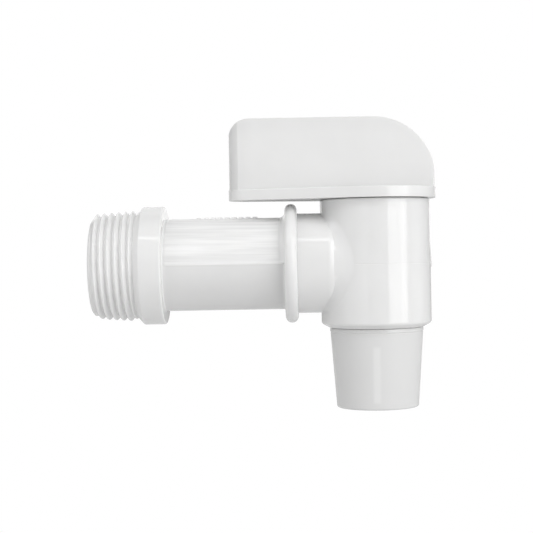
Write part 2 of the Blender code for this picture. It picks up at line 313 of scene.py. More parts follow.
    @staticmethod
    def heal(item: Solid) -> None:
        """Merge the doubled vertices that a cut leaves, so that the mesh is closed."""
        Bench.take(item)
        bpy.ops.object.mode_set(mode="EDIT")
        bpy.ops.mesh.select_all(action="SELECT")
        bpy.ops.mesh.remove_doubles(threshold=HEAL)
        bpy.ops.object.mode_set(mode="OBJECT")

    @staticmethod
    def smooth(item: Solid, angle: float = 32.0) -> None:
        """Shade an object smooth up to its sharp edges, with its broad faces kept even.

        Args:
            item: The object.
            angle: The least angle of an edge that stays sharp, in degrees.
        """
        Bench.heal(item)
        bpy.ops.object.shade_smooth_by_angle(angle=math.radians(angle))
        even = item.modifiers.new("even", "WEIGHTED_NORMAL")
        even.keep_sharp = True
        even.weight = 50
        Bench.apply(item, even)


class NodeSheet:
    """A material's node tree, filled in one node at a time."""

    def __init__(self, name: str) -> None:
        """Start an empty material with a shader, an output and object coordinates."""
        self.material = bpy.data.materials.new(name)
        self.material.use_nodes = True
        self.tree = self.material.node_tree
        self.shader = self.tree.nodes["Principled BSDF"]
        self.place = self.tree.nodes.new("ShaderNodeTexCoord").outputs["Object"]

    def link(self, source: Socket, target: Socket) -> None:
        """Join one socket to another."""
        self.tree.links.new(source, target)

    def noise(self, scale: float, detail: float = 3.0, stretch: Point3 = (1.0, 1.0, 1.0)) -> Socket:
        """Noise on object coordinates.

        Args:
            scale: How many features there are to a metre.
            detail: How many finer layers it has.
            stretch: The scale along each axis.

        Returns:
            The noise's value.
        """
        mapping = self.tree.nodes.new("ShaderNodeMapping")
        mapping.inputs["Scale"].default_value = stretch
        self.link(self.place, mapping.inputs["Vector"])
        node = self.tree.nodes.new("ShaderNodeTexNoise")
        node.inputs["Scale"].default_value = scale
        node.inputs["Detail"].default_value = detail
        self.link(mapping.outputs["Vector"], node.inputs["Vector"])
        return node.outputs["Fac"]

    def spread(self, value: Socket, low: float, high: float, span: Point = (0.3, 0.7)) -> Socket:
        """Map a value's span to a range.

        Args:
            value: What is mapped.
            low: The result at the span's start.
            high: The result at its end.
            span: The start and end of the input.

        Returns:
            The mapped value.
        """
        node = self.tree.nodes.new("ShaderNodeMapRange")
        for name, number in (("From Min", span[0]), ("From Max", span[1]), ("To Min", low), ("To Max", high)):
            node.inputs[name].default_value = number
        self.link(value, node.inputs["Value"])
        return node.outputs["Result"]

    def band(self, value: Socket, rise: Point, fall: Point) -> Socket:
        """Pick out a band of a coordinate, with soft edges.

        Args:
            value: The coordinate.
            rise: Between which places the band starts, in millimetres.
            fall: Between which places it ends, in millimetres.

        Returns:
            1 in the band and 0 outside it.
        """
        start = self.spread(value, 0.0, 1.0, (rise[0] * MM, rise[1] * MM))
        end = self.spread(value, 1.0, 0.0, (fall[0] * MM, fall[1] * MM))
        return self.times(start, end)

    def times(self, first: Socket, second: Socket) -> Socket:
        """Multiply two values."""
        node = self.tree.nodes.new("ShaderNodeMath")
        node.operation = "MULTIPLY"
        self.link(first, node.inputs[0])
        self.link(second, node.inputs[1])
        return node.outputs["Value"]

    def plus(self, first: Socket, second: Socket) -> Socket:
        """Add two values."""
        node = self.tree.nodes.new("ShaderNodeMath")
        self.link(first, node.inputs[0])
        self.link(second, node.inputs[1])
        return node.outputs["Value"]

    def axes(self) -> dict[str, Socket]:
        """Each object coordinate by its letter."""
        node = self.tree.nodes.new("ShaderNodeSeparateXYZ")
        self.link(self.place, node.inputs["Vector"])
        return {letter: node.outputs[letter] for letter in "XYZ"}

    def tint(self, colour: Point3, shade: Socket) -> None:
        """Drive the base colour.

        Args:
            colour: The finish's plain colour.
            shade: What the colour is multiplied by.
        """
        node = self.tree.nodes.new("ShaderNodeVectorMath")
        node.operation = "SCALE"
        node.inputs[0].default_value = colour
        self.link(shade, node.inputs["Scale"])
        self.link(node.outputs["Vector"], self.shader.inputs["Base Color"])

    def bump(self, height: Socket, depth: float, after: Socket | None = None) -> Socket:
        """Raise the surface by a height.

        Args:
            height: The height, from 0 to 1.
            depth: How far 1 stands out, in millimetres.
            after: The normal that it adds to.

        Returns:
            The new normal.
        """
        node = self.tree.nodes.new("ShaderNodeBump")
        node.inputs["Distance"].default_value = depth * MM
        self.link(height, node.inputs["Height"])
        if after is not None:
            self.link(after, node.inputs["Normal"])
        return node.outputs["Normal"]


@dataclass(frozen=True)
class NaturalPolyethylene:
    """Unpigmented polyethylene: milky, satin and a little translucent."""

    name: str
    colour: Point3 = (0.865, 0.865, 0.862)
    roughness: float = 0.2
    milkiness: float = 0.3
    depth: float = 0.7
    grain: Grain = Grain.SATIN
    pale_strip: tuple[Point, Point] | None = None
    # cored: whether the lever's blade gets painted shade towards its tail, its top and just above its rim.
    cored: bool = False
    mottle: float = 1.0

    # Between which places each shade starts or ends, in millimetres.
    PIPE_START: ClassVar[Point] = (7.2, 8.2)
    UPPER_END: ClassVar[Point] = (35.2, 36.0)
    LOWER_END: ClassVar[Point] = (36.2, 37.0)
    LINE_START: ClassVar[Point] = (-0.05, 0.15)
    LINE_END: ClassVar[Point] = (0.5, 0.9)
    STRIP_SOFTNESS: ClassVar[float] = 0.35
    # How strongly each tells: the streaks, the painted paler upper half, the painted highlight on the parting
    # line and the rib's pale strip.
    STREAK_CONTRAST: ClassVar[float] = 0.075
    UPPER_GAIN: ClassVar[float] = 1.012
    LINE_HIGHLIGHT_GAIN: ClassVar[float] = 1.1
    STRIP_GAIN: ClassVar[float] = 1.07

    def make(self) -> bpy.types.Material:
        """Build the material.

        Returns:
            The material.
        """
        sheet = NodeSheet(self.name)
        shader = sheet.shader
        shader.inputs["IOR"].default_value = 1.52
        shader.inputs["Subsurface Weight"].default_value = self.milkiness
        shader.inputs["Subsurface Radius"].default_value = (1.0, 1.0, 0.95)
        shader.inputs["Subsurface Scale"].default_value = self.depth * MM
        cloud = sheet.spread(sheet.noise(95.0), 1 - 0.015 * self.mottle, 1 + 0.012 * self.mottle)
        if self.pale_strip is not None:
            cloud = sheet.times(cloud, self.strip(sheet))
        # The drawn pipe also gets painted light: a paler upper half, a painted highlight along the parting
        # line and painted shade on the lower half.
        if self.grain is Grain.DRAWN:
            cloud = sheet.times(cloud, self.pipe_streaks_and_painted_light(sheet))
        # Painted shade on the lever's blade.
        if self.cored:
            cloud = sheet.times(cloud, self.blade_painted_shade(sheet))
        sheet.tint(self.colour, cloud)
        low, high = self.roughness - 0.03 * self.mottle, self.roughness + 0.04 * self.mottle
        rough = sheet.spread(sheet.noise(260.0, detail=4.0), low, high)
        waves = sheet.bump(sheet.noise(170.0, detail=1.0), 0.02)
        normal = sheet.bump(sheet.noise(2600.0, detail=3.0), 0.0025, waves)
        if self.grain is Grain.DRAWN:
            zone = self.upper_pipe(sheet)
            normal = self.streaks(sheet, zone, normal)
            rough = sheet.plus(rough, sheet.spread(zone, 0.0, 0.3, (0.0, 1.0)))
        sheet.link(rough, shader.inputs["Roughness"])
        sheet.link(normal, shader.inputs["Normal"])
        return sheet.material

    def upper_pipe(self, sheet: NodeSheet) -> Socket:
        """Where the pipe's upper half is.

        Args:
            sheet: The material's node tree.

        Returns:
            1 on the pipe's upper half and 0 elsewhere.
        """
        axes = sheet.axes()
        upper = sheet.spread(axes["Z"], 0.0, 1.0, (0.0, 0.3 * MM))
        return sheet.times(upper, sheet.band(axes["X"], self.PIPE_START, self.UPPER_END))

    def streaks(self, sheet: NodeSheet, zone: Socket, normal: Socket) -> Socket:
        """Lengthwise streaks.

        Args:
            sheet: The material's node tree.
            zone: Where they are.
            normal: The normal that they add to.

        Returns:
            The new normal.
        """
        lines = sheet.noise(1300.0, detail=2.0, stretch=(0.05, 1.0, 1.0))
        return sheet.bump(sheet.times(lines, zone), 0.1, normal)

    def pipe_streaks_and_painted_light(self, sheet: NodeSheet) -> Socket:
        """The pipe's streaked upper half, painted a little paler; a painted highlight along its parting line;
        and painted shade on its lower half, deepening towards the bead.

        Args:
            sheet: The material's node tree.

        Returns:
            What the colour is multiplied by.
        """
        axes = sheet.axes()
        zone = self.upper_pipe(sheet)
        lines = sheet.noise(1100.0, detail=2.0, stretch=(0.04, 1.0, 1.0))
        fine = sheet.times(zone, sheet.spread(lines, -self.STREAK_CONTRAST, self.STREAK_CONTRAST))
        streaked = sheet.plus(fine, sheet.spread(zone, 1.0, self.UPPER_GAIN, (0.0, 1.0)))
        along = sheet.band(axes["X"], self.PIPE_START, self.LOWER_END)
        near_line = sheet.band(axes["Z"], self.LINE_START, self.LINE_END)
        # Painted highlight along the parting line.
        pale = sheet.spread(sheet.times(near_line, along), 1.0, self.LINE_HIGHLIGHT_GAIN, (0.0, 1.0))
        # Painted shade: the lower half is darker, more so towards the bead, as if in its shadow.
        below = sheet.times(sheet.spread(axes["Z"], 1.0, 0.0, (-0.1 * MM, 0.1 * MM)), along)
        painted_bead_shadow = sheet.spread(axes["X"], 0.95, 0.885, (12.0 * MM, 36.0 * MM))
        clear = sheet.plus(sheet.times(below, painted_bead_shadow), sheet.spread(below, 1.0, 0.0, (0.0, 1.0)))
        return sheet.times(streaked, sheet.times(pale, clear))

    def blade_painted_shade(self, sheet: NodeSheet) -> Socket:
        """Painted shade on the blade: faintly darker towards its tail and its top, and just above the rim.

        Args:
            sheet: The material's node tree.

        Returns:
            What the colour is multiplied by.
        """
        axes = sheet.axes()
        tail = sheet.spread(axes["X"], 0.95, 1.0, (23.5 * MM, 29.5 * MM))
        top = sheet.spread(axes["Z"], 1.0, 0.965, (32.0 * MM, 36.0 * MM))
        painted_rim_shade = sheet.spread(axes["Z"], 0.97, 1.0, (20.0 * MM, 25.0 * MM))
        on_blade = sheet.spread(axes["Z"], 0.0, 1.0, (18.55 * MM, 18.85 * MM))
        shade = sheet.times(sheet.times(tail, top), painted_rim_shade)
        return sheet.plus(sheet.times(on_blade, shade), sheet.spread(on_blade, 1.0, 0.0, (0.0, 1.0)))

    def strip(self, sheet: NodeSheet) -> Socket:
        """The paler strip where a rib behind the wall backs it.

        Args:
            sheet: The material's node tree.

        Returns:
            What the colour is multiplied by.
        """
        (left, right), (low, high) = self.pale_strip
        axes = sheet.axes()
        soft = self.STRIP_SOFTNESS
        across = sheet.band(axes["X"], (left - soft, left + soft), (right - soft, right + soft))
        upright = sheet.band(axes["Z"], (low - soft, low + soft), (high - soft, high + soft))
        front = sheet.spread(axes["Y"], 1.0, 0.0, (-6.0 * MM, -5.0 * MM))
        inside = sheet.times(across, sheet.times(upright, front))
        return sheet.spread(inside, 1.0, self.STRIP_GAIN, (0.0, 1.0))


@dataclass(frozen=True)
class SealRubber:
    """Black moulded sealing rubber, faintly mottled."""

    name: str = "seal_rubber_finish"
    colour: Point3 = (0.028, 0.028, 0.03)
    roughness: float = 0.55

    def make(self) -> bpy.types.Material:
        """Build the material.

        Returns:
            The material.
        """
        sheet = NodeSheet(self.name)
        sheet.tint(self.colour, sheet.spread(sheet.noise(900.0), 0.8, 1.25))
        rough = sheet.spread(sheet.noise(1400.0), self.roughness - 0.08, self.roughness + 0.1)
        sheet.link(rough, sheet.shader.inputs["Roughness"])
        sheet.link(sheet.bump(sheet.noise(3200.0), 0.008), sheet.shader.inputs["Normal"])
        return sheet.material


@dataclass(frozen=True)
class SeatElastomer:
    """Off-white sealing elastomer with a dull skin."""

    name: str = "seat_elastomer_finish"
    colour: Point3 = (0.75, 0.75, 0.72)
    roughness: float = 0.52

    def make(self) -> bpy.types.Material:
        """Build the material.

        Returns:
            The material.
        """
        sheet = NodeSheet(self.name)
        sheet.shader.inputs["Subsurface Weight"].default_value = 0.15
        sheet.shader.inputs["Subsurface Scale"].default_value = 0.8 * MM
        sheet.tint(self.colour, sheet.spread(sheet.noise(420.0), 0.95, 1.03))
        rough = sheet.spread(sheet.noise(700.0), self.roughness - 0.06, self.roughness + 0.07)
        sheet.link(rough, sheet.shader.inputs["Roughness"])
        sheet.link(sheet.bump(sheet.noise(2100.0), 0.006), sheet.shader.inputs["Normal"])
        return sheet.material


def fit_out(item: Solid, node: str, body: str, material: bpy.types.Material) -> None:
    """Dress a finished piece and put it in the CAD node's place.

    Args:
        item: The piece.
        node: The CAD node that it stands for.
        body: The CAD body that it rides on.
        material: Its material.
    """
    item.name = node + "_piece"
    item.data.name = item.name
    item.data.materials.clear()
    item.data.materials.append(material)
    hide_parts(node)
    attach(item, body)
    log.info("%s: %d faces, rides on %s", item.name, len(item.data.polygons), body)


@dataclass
class InletBarrel:
    """The threaded end, the wrench collar, the pipe and the stop bead, in millimetres."""

    thread_length: float = 11.1
    thread_depth: float = 0.9
    pitch: float = 25.4 / 14
    last_crest: float = -1.02
    root_radii: Point = (12.3, 13.05)
    end_chamfer: float = 0.4
    lead: float = 1.1
    lead_below: float = 1.2
    runout: float = 0.9
    rings_per_turn: int = 14
    sides: int = 192
    collar: Point = (7.0, 14.8)
    bead_radius: float = 14.95
    pipe_radius: float = 11.5
    bead: Point = (37.05, 40.25)
    bead_round: float = 1.55
    collar_start: float = 1.6
    collar_round: float = 0.45
    spigot: Point = (45.3, 10.2)
    groove: Point = (42.1, 43.9)
    groove_floor: float = 9.0
    bore_radius: float = 7.6
    upper_step: float = 0.07
    ridge: Point = (0.12, 1.1)
    pad: float = 1.4
    bars: int = 9
    bar_start: float = 15.0
    bar_pitch: float = 1.76
    bar_size: Point3 = (1.15, 1.7, 0.3)
    bar_depth: float = 1.2
    bar_edge: float = 0.12
    line_height: float = 0.05
    near: float = 0.01
    tight: float = 0.3

    def profile(self) -> list[Point]:
        """The closed profile, from the thread's end round to the bore."""
        small, large = self.root_radii
        start = -self.thread_length + self.end_chamfer
        count = round(self.thread_length / self.pitch * self.rings_per_turn)
        slope = (large - small) / self.thread_length
        path: list[Point] = [(-self.thread_length, small - self.end_chamfer)]
        for step in range(count + 1):
            along = start * (1 - step / count)
            path.append((along, small + slope * (along + self.thread_length)))
        end, top = self.collar
        bead_start, bead_end = self.bead
        spigot_end, spigot_radius = self.spigot
        groove_start, groove_end = self.groove
        collar_round, bead_round = self.collar_round, self.bead_round
        rest: list[Corner] = [
            (0.0, large, 0.0), (self.collar_start, top, collar_round), (end, top, collar_round),
            (end, self.pipe_radius, collar_round), (bead_start, self.pipe_radius, self.pad),
            (bead_start, self.bead_radius, bead_round), (bead_end, self.bead_radius, bead_round),
            (bead_end, spigot_radius, 0.1), (groove_start, spigot_radius, 0.05),
            (groove_start, self.groove_floor, 0.1), (groove_end, self.groove_floor, 0.1),
            (groove_end, spigot_radius, 0.05), (spigot_end, spigot_radius, 0.3),
            (spigot_end, self.bore_radius, 0.2),
            (-self.thread_length, self.bore_radius, 0.3),
            (-self.thread_length, small - self.end_chamfer, 0.0),
        ]
        return path + rounded_path(rest, closed=False, steps=7)[1:-1]

    def raise_thread(self, mesh: bpy.types.Mesh) -> None:
        """Lift the root rings into a right-handed thread that fades at both ends."""
        for vertex in mesh.vertices:
            x, y, z = vertex.co / MM
            radius = math.hypot(y, z)
            if not -self.thread_length < x < 0 or radius < self.root_radii[0] - self.end_chamfer / 2:
                continue
            turn = math.atan2(z, y) / math.tau - 0.25
            wave = 0.5 + 0.5 * math.cos(math.tau * ((x - self.last_crest) / self.pitch - turn))
            lead = self.lead + self.lead_below * (0.5 - z / (2 * radius))
            fade = max(0.0, min(1.0, (x + self.thread_length) / lead, -x / self.runout))
            lift = 1 + self.thread_depth * wave * fade / radius
            vertex.co.y *= lift
            vertex.co.z *= lift

    def part_the_pipe(self, mesh: bpy.types.Mesh) -> None:
        """Tell the pipe's two halves apart, as the mould does.

        The upper half stands a little proud, ends in a fine ridge along the parting line, and meets the
        bead in a wide fillet. The lower half meets it in a tight one.
        """
        end, _ = self.collar
        bead_start, _ = self.bead
        rise, reach = self.ridge
        for vertex in mesh.vertices:
            x, y, z = vertex.co / MM
            radius = math.hypot(y, z)
            along_pipe = end - self.near <= x <= bead_start + self.near
            on_skin = -self.near < radius - self.pipe_radius < self.pad + self.near
            if not along_pipe or not on_skin:
                continue
            if z > self.line_height:
                lift = self.upper_step + rise * max(0.0, 1 - z / reach)
                wanted = radius + (lift if x < bead_start - self.near else 0.0)
            elif x > bead_start - self.pad - self.near:
                x = bead_start + (x - bead_start) * self.tight
                wanted = self.pipe_radius + (radius - self.pipe_radius) * self.tight
            else:
                continue
            vertex.co = Vector((x, y * wanted / radius, z * wanted / radius)) * MM

    def raised_bars(self) -> Solid:
        """The row of plain raised bars along the top of the pipe."""
        length, half_width, height = self.bar_size
        top = self.pipe_radius + self.upper_step + height
        row = []
        for i in range(self.bars):
            start = self.bar_start + i * self.bar_pitch
            low = (start, -half_width, top - self.bar_depth)
            high = (start + length, half_width, top)
            row.append(Bench.brick(f"bar_{i}", low, high, self.bar_edge))
        return Bench.join(row)

    def build(self, finish: NaturalPolyethylene) -> None:
        """Make the barrel with its plain raised bars."""
        barrel = Bench.turned("barrel", self.profile(), Way.INLET, closed=True, steps=self.sides)
        self.raise_thread(barrel.data)
        self.part_the_pipe(barrel.data)
        Bench.combine(barrel, self.raised_bars(), Cut.ADD)
        Bench.smooth(barrel)
        fit_out(barrel, "inlet_barrel", "housing", finish.make())


@dataclass
class ValveBody:
    """The upright housing with its socket neck, in millimetres."""

    radius: float = 13.85
    top: float = 15.78
    bottom: float = -16.3
    edge: float = 0.45
    foot: Point = (-15.25, 11.95)
    parting_height: float = -0.35
    parting_groove: Point = (0.14, 0.07)
    neck_start: float = 40.24
    neck_radius: float = 12.55
    neck_round: Point = (47.7, 2.9)
    neck_turn: float = 33.0
    blend_least: float = 0.3
    blend_most: float = 8.0
    blend_root: float = 0.6
    blend_sunk: float = 0.02
    blend_steps: int = 10
    gate: tuple[Point3, Point3] = ((73.0, -1.3, -1.5), (73.98, 1.3, 1.3))
    bore_radius: float = 11.2
    roof: float = 12.6
    stem_hole: float = 5.9
    socket: Point = (47.0, 10.5)
    seat_pocket: Point = (53.7, 7.4)

    def blend_point(self, neck_radius: float, angle: float, step: int) -> Vector:
        """One point of the blend between the neck and the housing.

        Args:
            neck_radius: The neck's radius where it meets the housing.
            angle: How far round the neck it is from the top, in radians.
            step: How far along the section it is, from the neck's side to the housing's and back inside.

        Returns:
            The point, in millimetres.
        """
        neck, housing = neck_radius - self.blend_sunk, self.radius - self.blend_sunk
        ball = self.blend_least + self.blend_most * math.sin(angle) ** 2
        y, z = (neck + ball) * math.sin(angle), (neck + ball) * math.cos(angle)
        centre = Vector((HOUSING_X - math.sqrt((housing + ball) ** 2 - y * y), y, z))
        on_neck = Vector((centre.x, y * neck / (neck + ball), z * neck / (neck + ball)))
        shrink = housing / (housing + ball)
        on_housing = Vector((HOUSING_X + (centre.x - HOUSING_X) * shrink, y * shrink, z))
        if step <= self.blend_steps:
            spoke = (on_neck - centre).slerp(on_housing - centre, step / self.blend_steps)
            return centre + spoke.normalized() * ball
        in_neck = on_neck - Vector((0, on_neck.y, on_neck.z)).normalized() * self.blend_root
        to_axis = Vector((HOUSING_X - on_housing.x, -on_housing.y, 0)).normalized()
        in_housing = on_housing + to_axis * self.blend_root
        if step == self.blend_steps + 1:
            return in_housing
        if step == self.blend_steps + 3:
            return in_neck
        return (in_neck + in_housing) / 2 + Vector((self.blend_root, 0, 0))

    def blend_ring(self, neck_radius: float) -> Solid:
        """The ring that blends the neck into the housing, wide at the sides and tight above and below.

        Args:
            neck_radius: The neck's radius where it meets the housing.

        Returns:
            The ring, spun as a plain one and then drawn out along the junction.
        """
        rows = self.blend_steps + 4
        middle = (50.0, self.neck_radius)
        section = arc(middle, 1.0, 0, 360, rows)[:-1]
        ring = Bench.turned("blend", section, Way.INLET, closed=True, steps=192)
        for vertex in ring.data.vertices:
            x, y, z = vertex.co / MM
            turn = math.atan2(math.hypot(y, z) - middle[1], x - middle[0]) / math.tau
            vertex.co = self.blend_point(neck_radius, math.atan2(y, z), round(turn * rows) % rows) * MM
        Bench.take(ring)
        bpy.ops.object.mode_set(mode="EDIT")
        bpy.ops.mesh.select_all(action="SELECT")
        bpy.ops.mesh.normals_make_consistent(inside=False)
        bpy.ops.object.mode_set(mode="OBJECT")
        return ring

    def build(self, finish: NaturalPolyethylene) -> None:
        """Make the body."""
        line = self.parting_height
        half_width, depth = self.parting_groove
        foot_top, foot_radius = self.foot
        outer: list[Corner] = [
            (self.bottom, 0.0, 0.0), (self.bottom, foot_radius, 0.2), (foot_top, self.radius, 0.8),
            (line - half_width, self.radius, 0.0), (line, self.radius - depth, 0.0),
            (line + half_width, self.radius, 0.0),
            (self.top, self.radius, self.edge), (self.top, 0.0, 0.0),
        ]
        body = Bench.turned("body", rounded_path(outer, False, 6), Way.UPRIGHT, closed=False, steps=192)
        round_x, round_radius = self.neck_round
        neck_corners: list[Corner] = [
            (self.neck_start, 0.0, 0.0), (self.neck_start, self.neck_radius, 0.05),
            (round_x, self.neck_radius, 0.0),
        ]
        round_centre = (round_x, self.neck_radius - round_radius)
        neck_path = rounded_path(neck_corners, False, 6)
        neck_path += arc(round_centre, round_radius, 90, 90 - self.neck_turn, 8)[1:]
        inner_radius = neck_path[-1][1]
        neck_path += [(HOUSING_X, inner_radius), (HOUSING_X, 0.0)]
        neck = Bench.turned("neck", neck_path, Way.INLET, closed=False, steps=192)
        low, high = self.gate
        Bench.combine(body, Bench.brick("gate", low, high, 0.3), Cut.ADD)
        Bench.combine(body, neck, Cut.ADD)
        Bench.combine(body, self.blend_ring(inner_radius), Cut.ADD)
        bore: list[Corner] = [
            (self.bottom - 1, 0.0, 0.0), (self.bottom - 1, self.bore_radius, 0.0),
            (self.roof, self.bore_radius, 0.4), (self.roof, self.stem_hole, 0.0),
            (self.top + 1, self.stem_hole, 0.0), (self.top + 1, 0.0, 0.0),
        ]
        before_neck = self.neck_start - 1
        socket_end, socket_radius = self.socket
        pocket_end, pocket_radius = self.seat_pocket
        socket: list[Corner] = [
            (before_neck, 0.0, 0.0), (before_neck, socket_radius, 0.0), (socket_end, socket_radius, 0.0),
            (socket_end, pocket_radius, 0.0), (pocket_end, pocket_radius, 0.0), (pocket_end, 0.0, 0.0),
        ]
        Bench.hollow(body, "bore", bore, Way.UPRIGHT, 128)
        Bench.hollow(body, "socket", socket, Way.INLET, 128)
        Bench.smooth(body)
        fit_out(body, "valve_body", "housing", finish.make())


@dataclass
class OutletNozzle:
    """The tapered spout and the spigot that closes the housing, in millimetres."""

    mouth: Point = (-36.4, 10.3)
    shoulder: Point = (-16.4, 11.75)
    crease: tuple[Point, Point] = ((-17.7, 11.66), (-17.5, 11.6))
    lip_bottom: float = -17.25
    spigot_radius: float = 10.9
    spigot_top: float = -11.3
    bore: Point = (8.6, 9.2)
    rib_low: Point3 = (57.8, -9.4, -35.3)
    rib_high: Point3 = (59.6, -7.4, -19.5)

    def build(self, finish: NaturalPolyethylene) -> None:
        """Make the spout with its inner rib."""
        mouth_height, mouth_radius = self.mouth
        shoulder_height, shoulder_radius = self.shoulder
        crease_start, crease_root = self.crease
        path: list[Corner] = [
            (mouth_height, mouth_radius, 0.5), (*crease_start, 0.0), (*crease_root, 0.05),
            (self.lip_bottom, shoulder_radius, 0.1), (shoulder_height, shoulder_radius, 0.2),
            (shoulder_height, self.spigot_radius, 0.1), (self.spigot_top, self.spigot_radius, 0.2),
            (self.spigot_top, self.bore[1], 0.2), (mouth_height, self.bore[0], 0.35),
        ]
        nozzle = Bench.turned("nozzle", rounded_path(path, True, 6), Way.UPRIGHT, closed=True, steps=160)
        Bench.combine(nozzle, Bench.brick("rib", self.rib_low, self.rib_high, 0.3), Cut.ADD)
        Bench.smooth(nozzle)
        fit_out(nozzle, "outlet_nozzle", "housing", finish.make())


@dataclass
class ValvePlug:
    """The hollow plug with its side port, seal grooves and square drive stem, in millimetres."""

    radius: float = 10.85
    bottom: float = -11.0
    top: float = 12.3
    groove_height: float = 9.1
    groove_width: float = 1.8
    groove_depth: float = 1.45
    stem_radius: float = 5.6
    stem_top: float = 25.0
    collar_top: float = 15.6
    square: float = 5.4
    bore: Point = (9.8, 7.8)
    port: Point = (48.0, 6.2)

    def build(self, finish: NaturalPolyethylene) -> None:
        """Make the plug."""
        path: list[Corner] = [(self.bottom, 0.0, 0.0), (self.bottom, self.radius, 0.3)]
        half = self.groove_width / 2
        for centre in (-self.groove_height, self.groove_height):
            low, high, floor = centre - half, centre + half, self.radius - self.groove_depth
            path += [(low, self.radius, 0.1), (low, floor, 0.15)]
            path += [(high, floor, 0.15), (high, self.radius, 0.1)]
        path += [(self.top, self.radius, 0.3), (self.top, self.stem_radius, 0.2)]
        path += [(self.collar_top, self.stem_radius, 0.2), (self.collar_top, 0.0, 0.0)]
        plug = Bench.turned("plug", rounded_path(path, False), Way.UPRIGHT, closed=False, steps=128)
        side = self.square / 2
        stem_low = (HOUSING_X - side, -side, self.top)
        stem_high = (HOUSING_X + side, side, self.stem_top)
        Bench.combine(plug, Bench.brick("stem", stem_low, stem_high, 0.25), Cut.ADD)
        below = self.bottom - 1
        bore_roof, bore_radius = self.bore
        bore: list[Corner] = [
            (below, 0.0, 0.0), (below, bore_radius, 0.0),
            (bore_roof, bore_radius, 0.8), (bore_roof, 0.0, 0.0),
        ]
        port_start, port_radius = self.port
        port: list[Corner] = [
            (port_start, 0.0, 0.0), (port_start, port_radius, 0.0), (HOUSING_X, port_radius, 0.0),
            (HOUSING_X, 0.0, 0.0),
        ]
        Bench.hollow(plug, "bore", bore, Way.UPRIGHT, 96)
        Bench.hollow(plug, "port", port, Way.INLET, 96)
        Bench.smooth(plug)
        fit_out(plug, "valve_plug", "rotor", finish.make())


@dataclass
class LeverHandle:
    """The rimmed base and the upright blade, cored out from below, in millimetres."""

    bottom: float = 15.9
    rim_top: float = 18.65
    top: float = 36.35
    blade_round_x: float = 59.5
    round_radius: float = 15.4
    tail_radius: float = 5.5
    tail_x: float = 28.6
    inset: float = 0.2
    thickness: float = 9.0
    wall: float = 2.0
    border: float = 3.0
    nose_wall: float = 4.0
    corner: float = 5.5
    hub_half: float = 6.2
    drive_half: float = 3.0
    drive_top: float = 25.3

    def plan(self, inset: float) -> list[Point]:
        """The outline seen from above: a round over the housing that narrows to its tail.

        Args:
            inset: How far inside the full outline it runs.

        Returns:
            The outline's points as (x, y).
        """
        lean = math.degrees(math.acos((self.round_radius - self.tail_radius) / (HOUSING_X - self.tail_x)))
        outline = arc((HOUSING_X, 0.0), self.round_radius - inset, lean - 180, -90, 8)[:-1]
        outline += arc((HOUSING_X, 0.0), self.round_radius - inset, -90, 90, 64)[:-1]
        outline += arc((HOUSING_X, 0.0), self.round_radius - inset, 90, 180 - lean, 8)
        outline += arc((self.tail_x, 0.0), self.tail_radius - inset, 180 - lean, 180 + lean, 28)
        return outline

    def side(self) -> list[Point]:
        """The blade's outline seen from the side, as (x, z)."""
        left = self.tail_x - self.tail_radius
        low = (self.bottom + self.rim_top) / 2
        outline = [(left, low), (self.blade_round_x + self.round_radius, low)]
        outline += arc((self.blade_round_x, self.top - self.round_radius), self.round_radius, 0, 90, 48)
        outline += arc((left + self.corner, self.top - self.corner), self.corner, 90, 180, 20)
        return outline

    def build(self, finish: NaturalPolyethylene) -> None:
        """Make the lever."""
        rim_plan = [Vector((x, y, self.bottom)) * MM for x, y in self.plan(0.0)]
        lever = Bench.slab("lever", rim_plan, Vector((0, 0, self.rim_top - self.bottom)) * MM)
        Bench.round_edges(lever, 0.2, 3, 60)
        side = [Vector((x, -self.thickness / 2, z)) * MM for x, z in self.side()]
        blade = Bench.slab("blade", side, Vector((0, self.thickness, 0)) * MM)
        limit_plan = [Vector((x, y, 0.0)) * MM for x, y in self.plan(self.inset)]
        limit = Bench.slab("limit", limit_plan, Vector((0, 0, 60.0)) * MM)
        Bench.combine(blade, limit, Cut.KEEP_SHARED)
        Bench.round_edges(blade, 0.7, 4, 50)
        Bench.combine(lever, blade, Cut.ADD)
        half = self.thickness / 2 - self.wall
        below = self.bottom - 1
        tail_low = (self.tail_x - self.tail_radius + self.border, -half, below)
        tail_high = (HOUSING_X - self.hub_half, half, self.top - self.border)
        nose_low = (HOUSING_X + self.hub_half, -half, below)
        nose_reach = HOUSING_X + self.round_radius - self.nose_wall
        nose_high = (nose_reach, half, self.top - self.round_radius + self.hub_half)
        drive_low = (HOUSING_X - self.drive_half, -self.drive_half, below)
        drive_high = (HOUSING_X + self.drive_half, self.drive_half, self.drive_top)
        pocket_edge = self.wall / 4
        tail = Bench.brick("tail", tail_low, tail_high, pocket_edge)
        nose = Bench.brick("nose", nose_low, nose_high, pocket_edge)
        drive = Bench.brick("drive", drive_low, drive_high)
        for tool in (tail, nose, drive):
            Bench.combine(lever, tool, Cut.REMOVE)
        Bench.smooth(lever)
        fit_out(lever, "lever_handle", "rotor", finish.make())


@dataclass
class SealRing:
    """A round sealing ring, in millimetres."""

    node: str
    body: str
    way: Way
    along: float
    middle: float
    section: float

    def build(self, material: bpy.types.Material) -> None:
        """Make the ring."""
        path = arc((self.along, self.middle), self.section, 0, 360, 24)[:-1]
        ring = Bench.turned("ring", path, self.way, closed=True, steps=96)
        Bench.smooth(ring, 80)
        fit_out(ring, self.node, self.body, material)


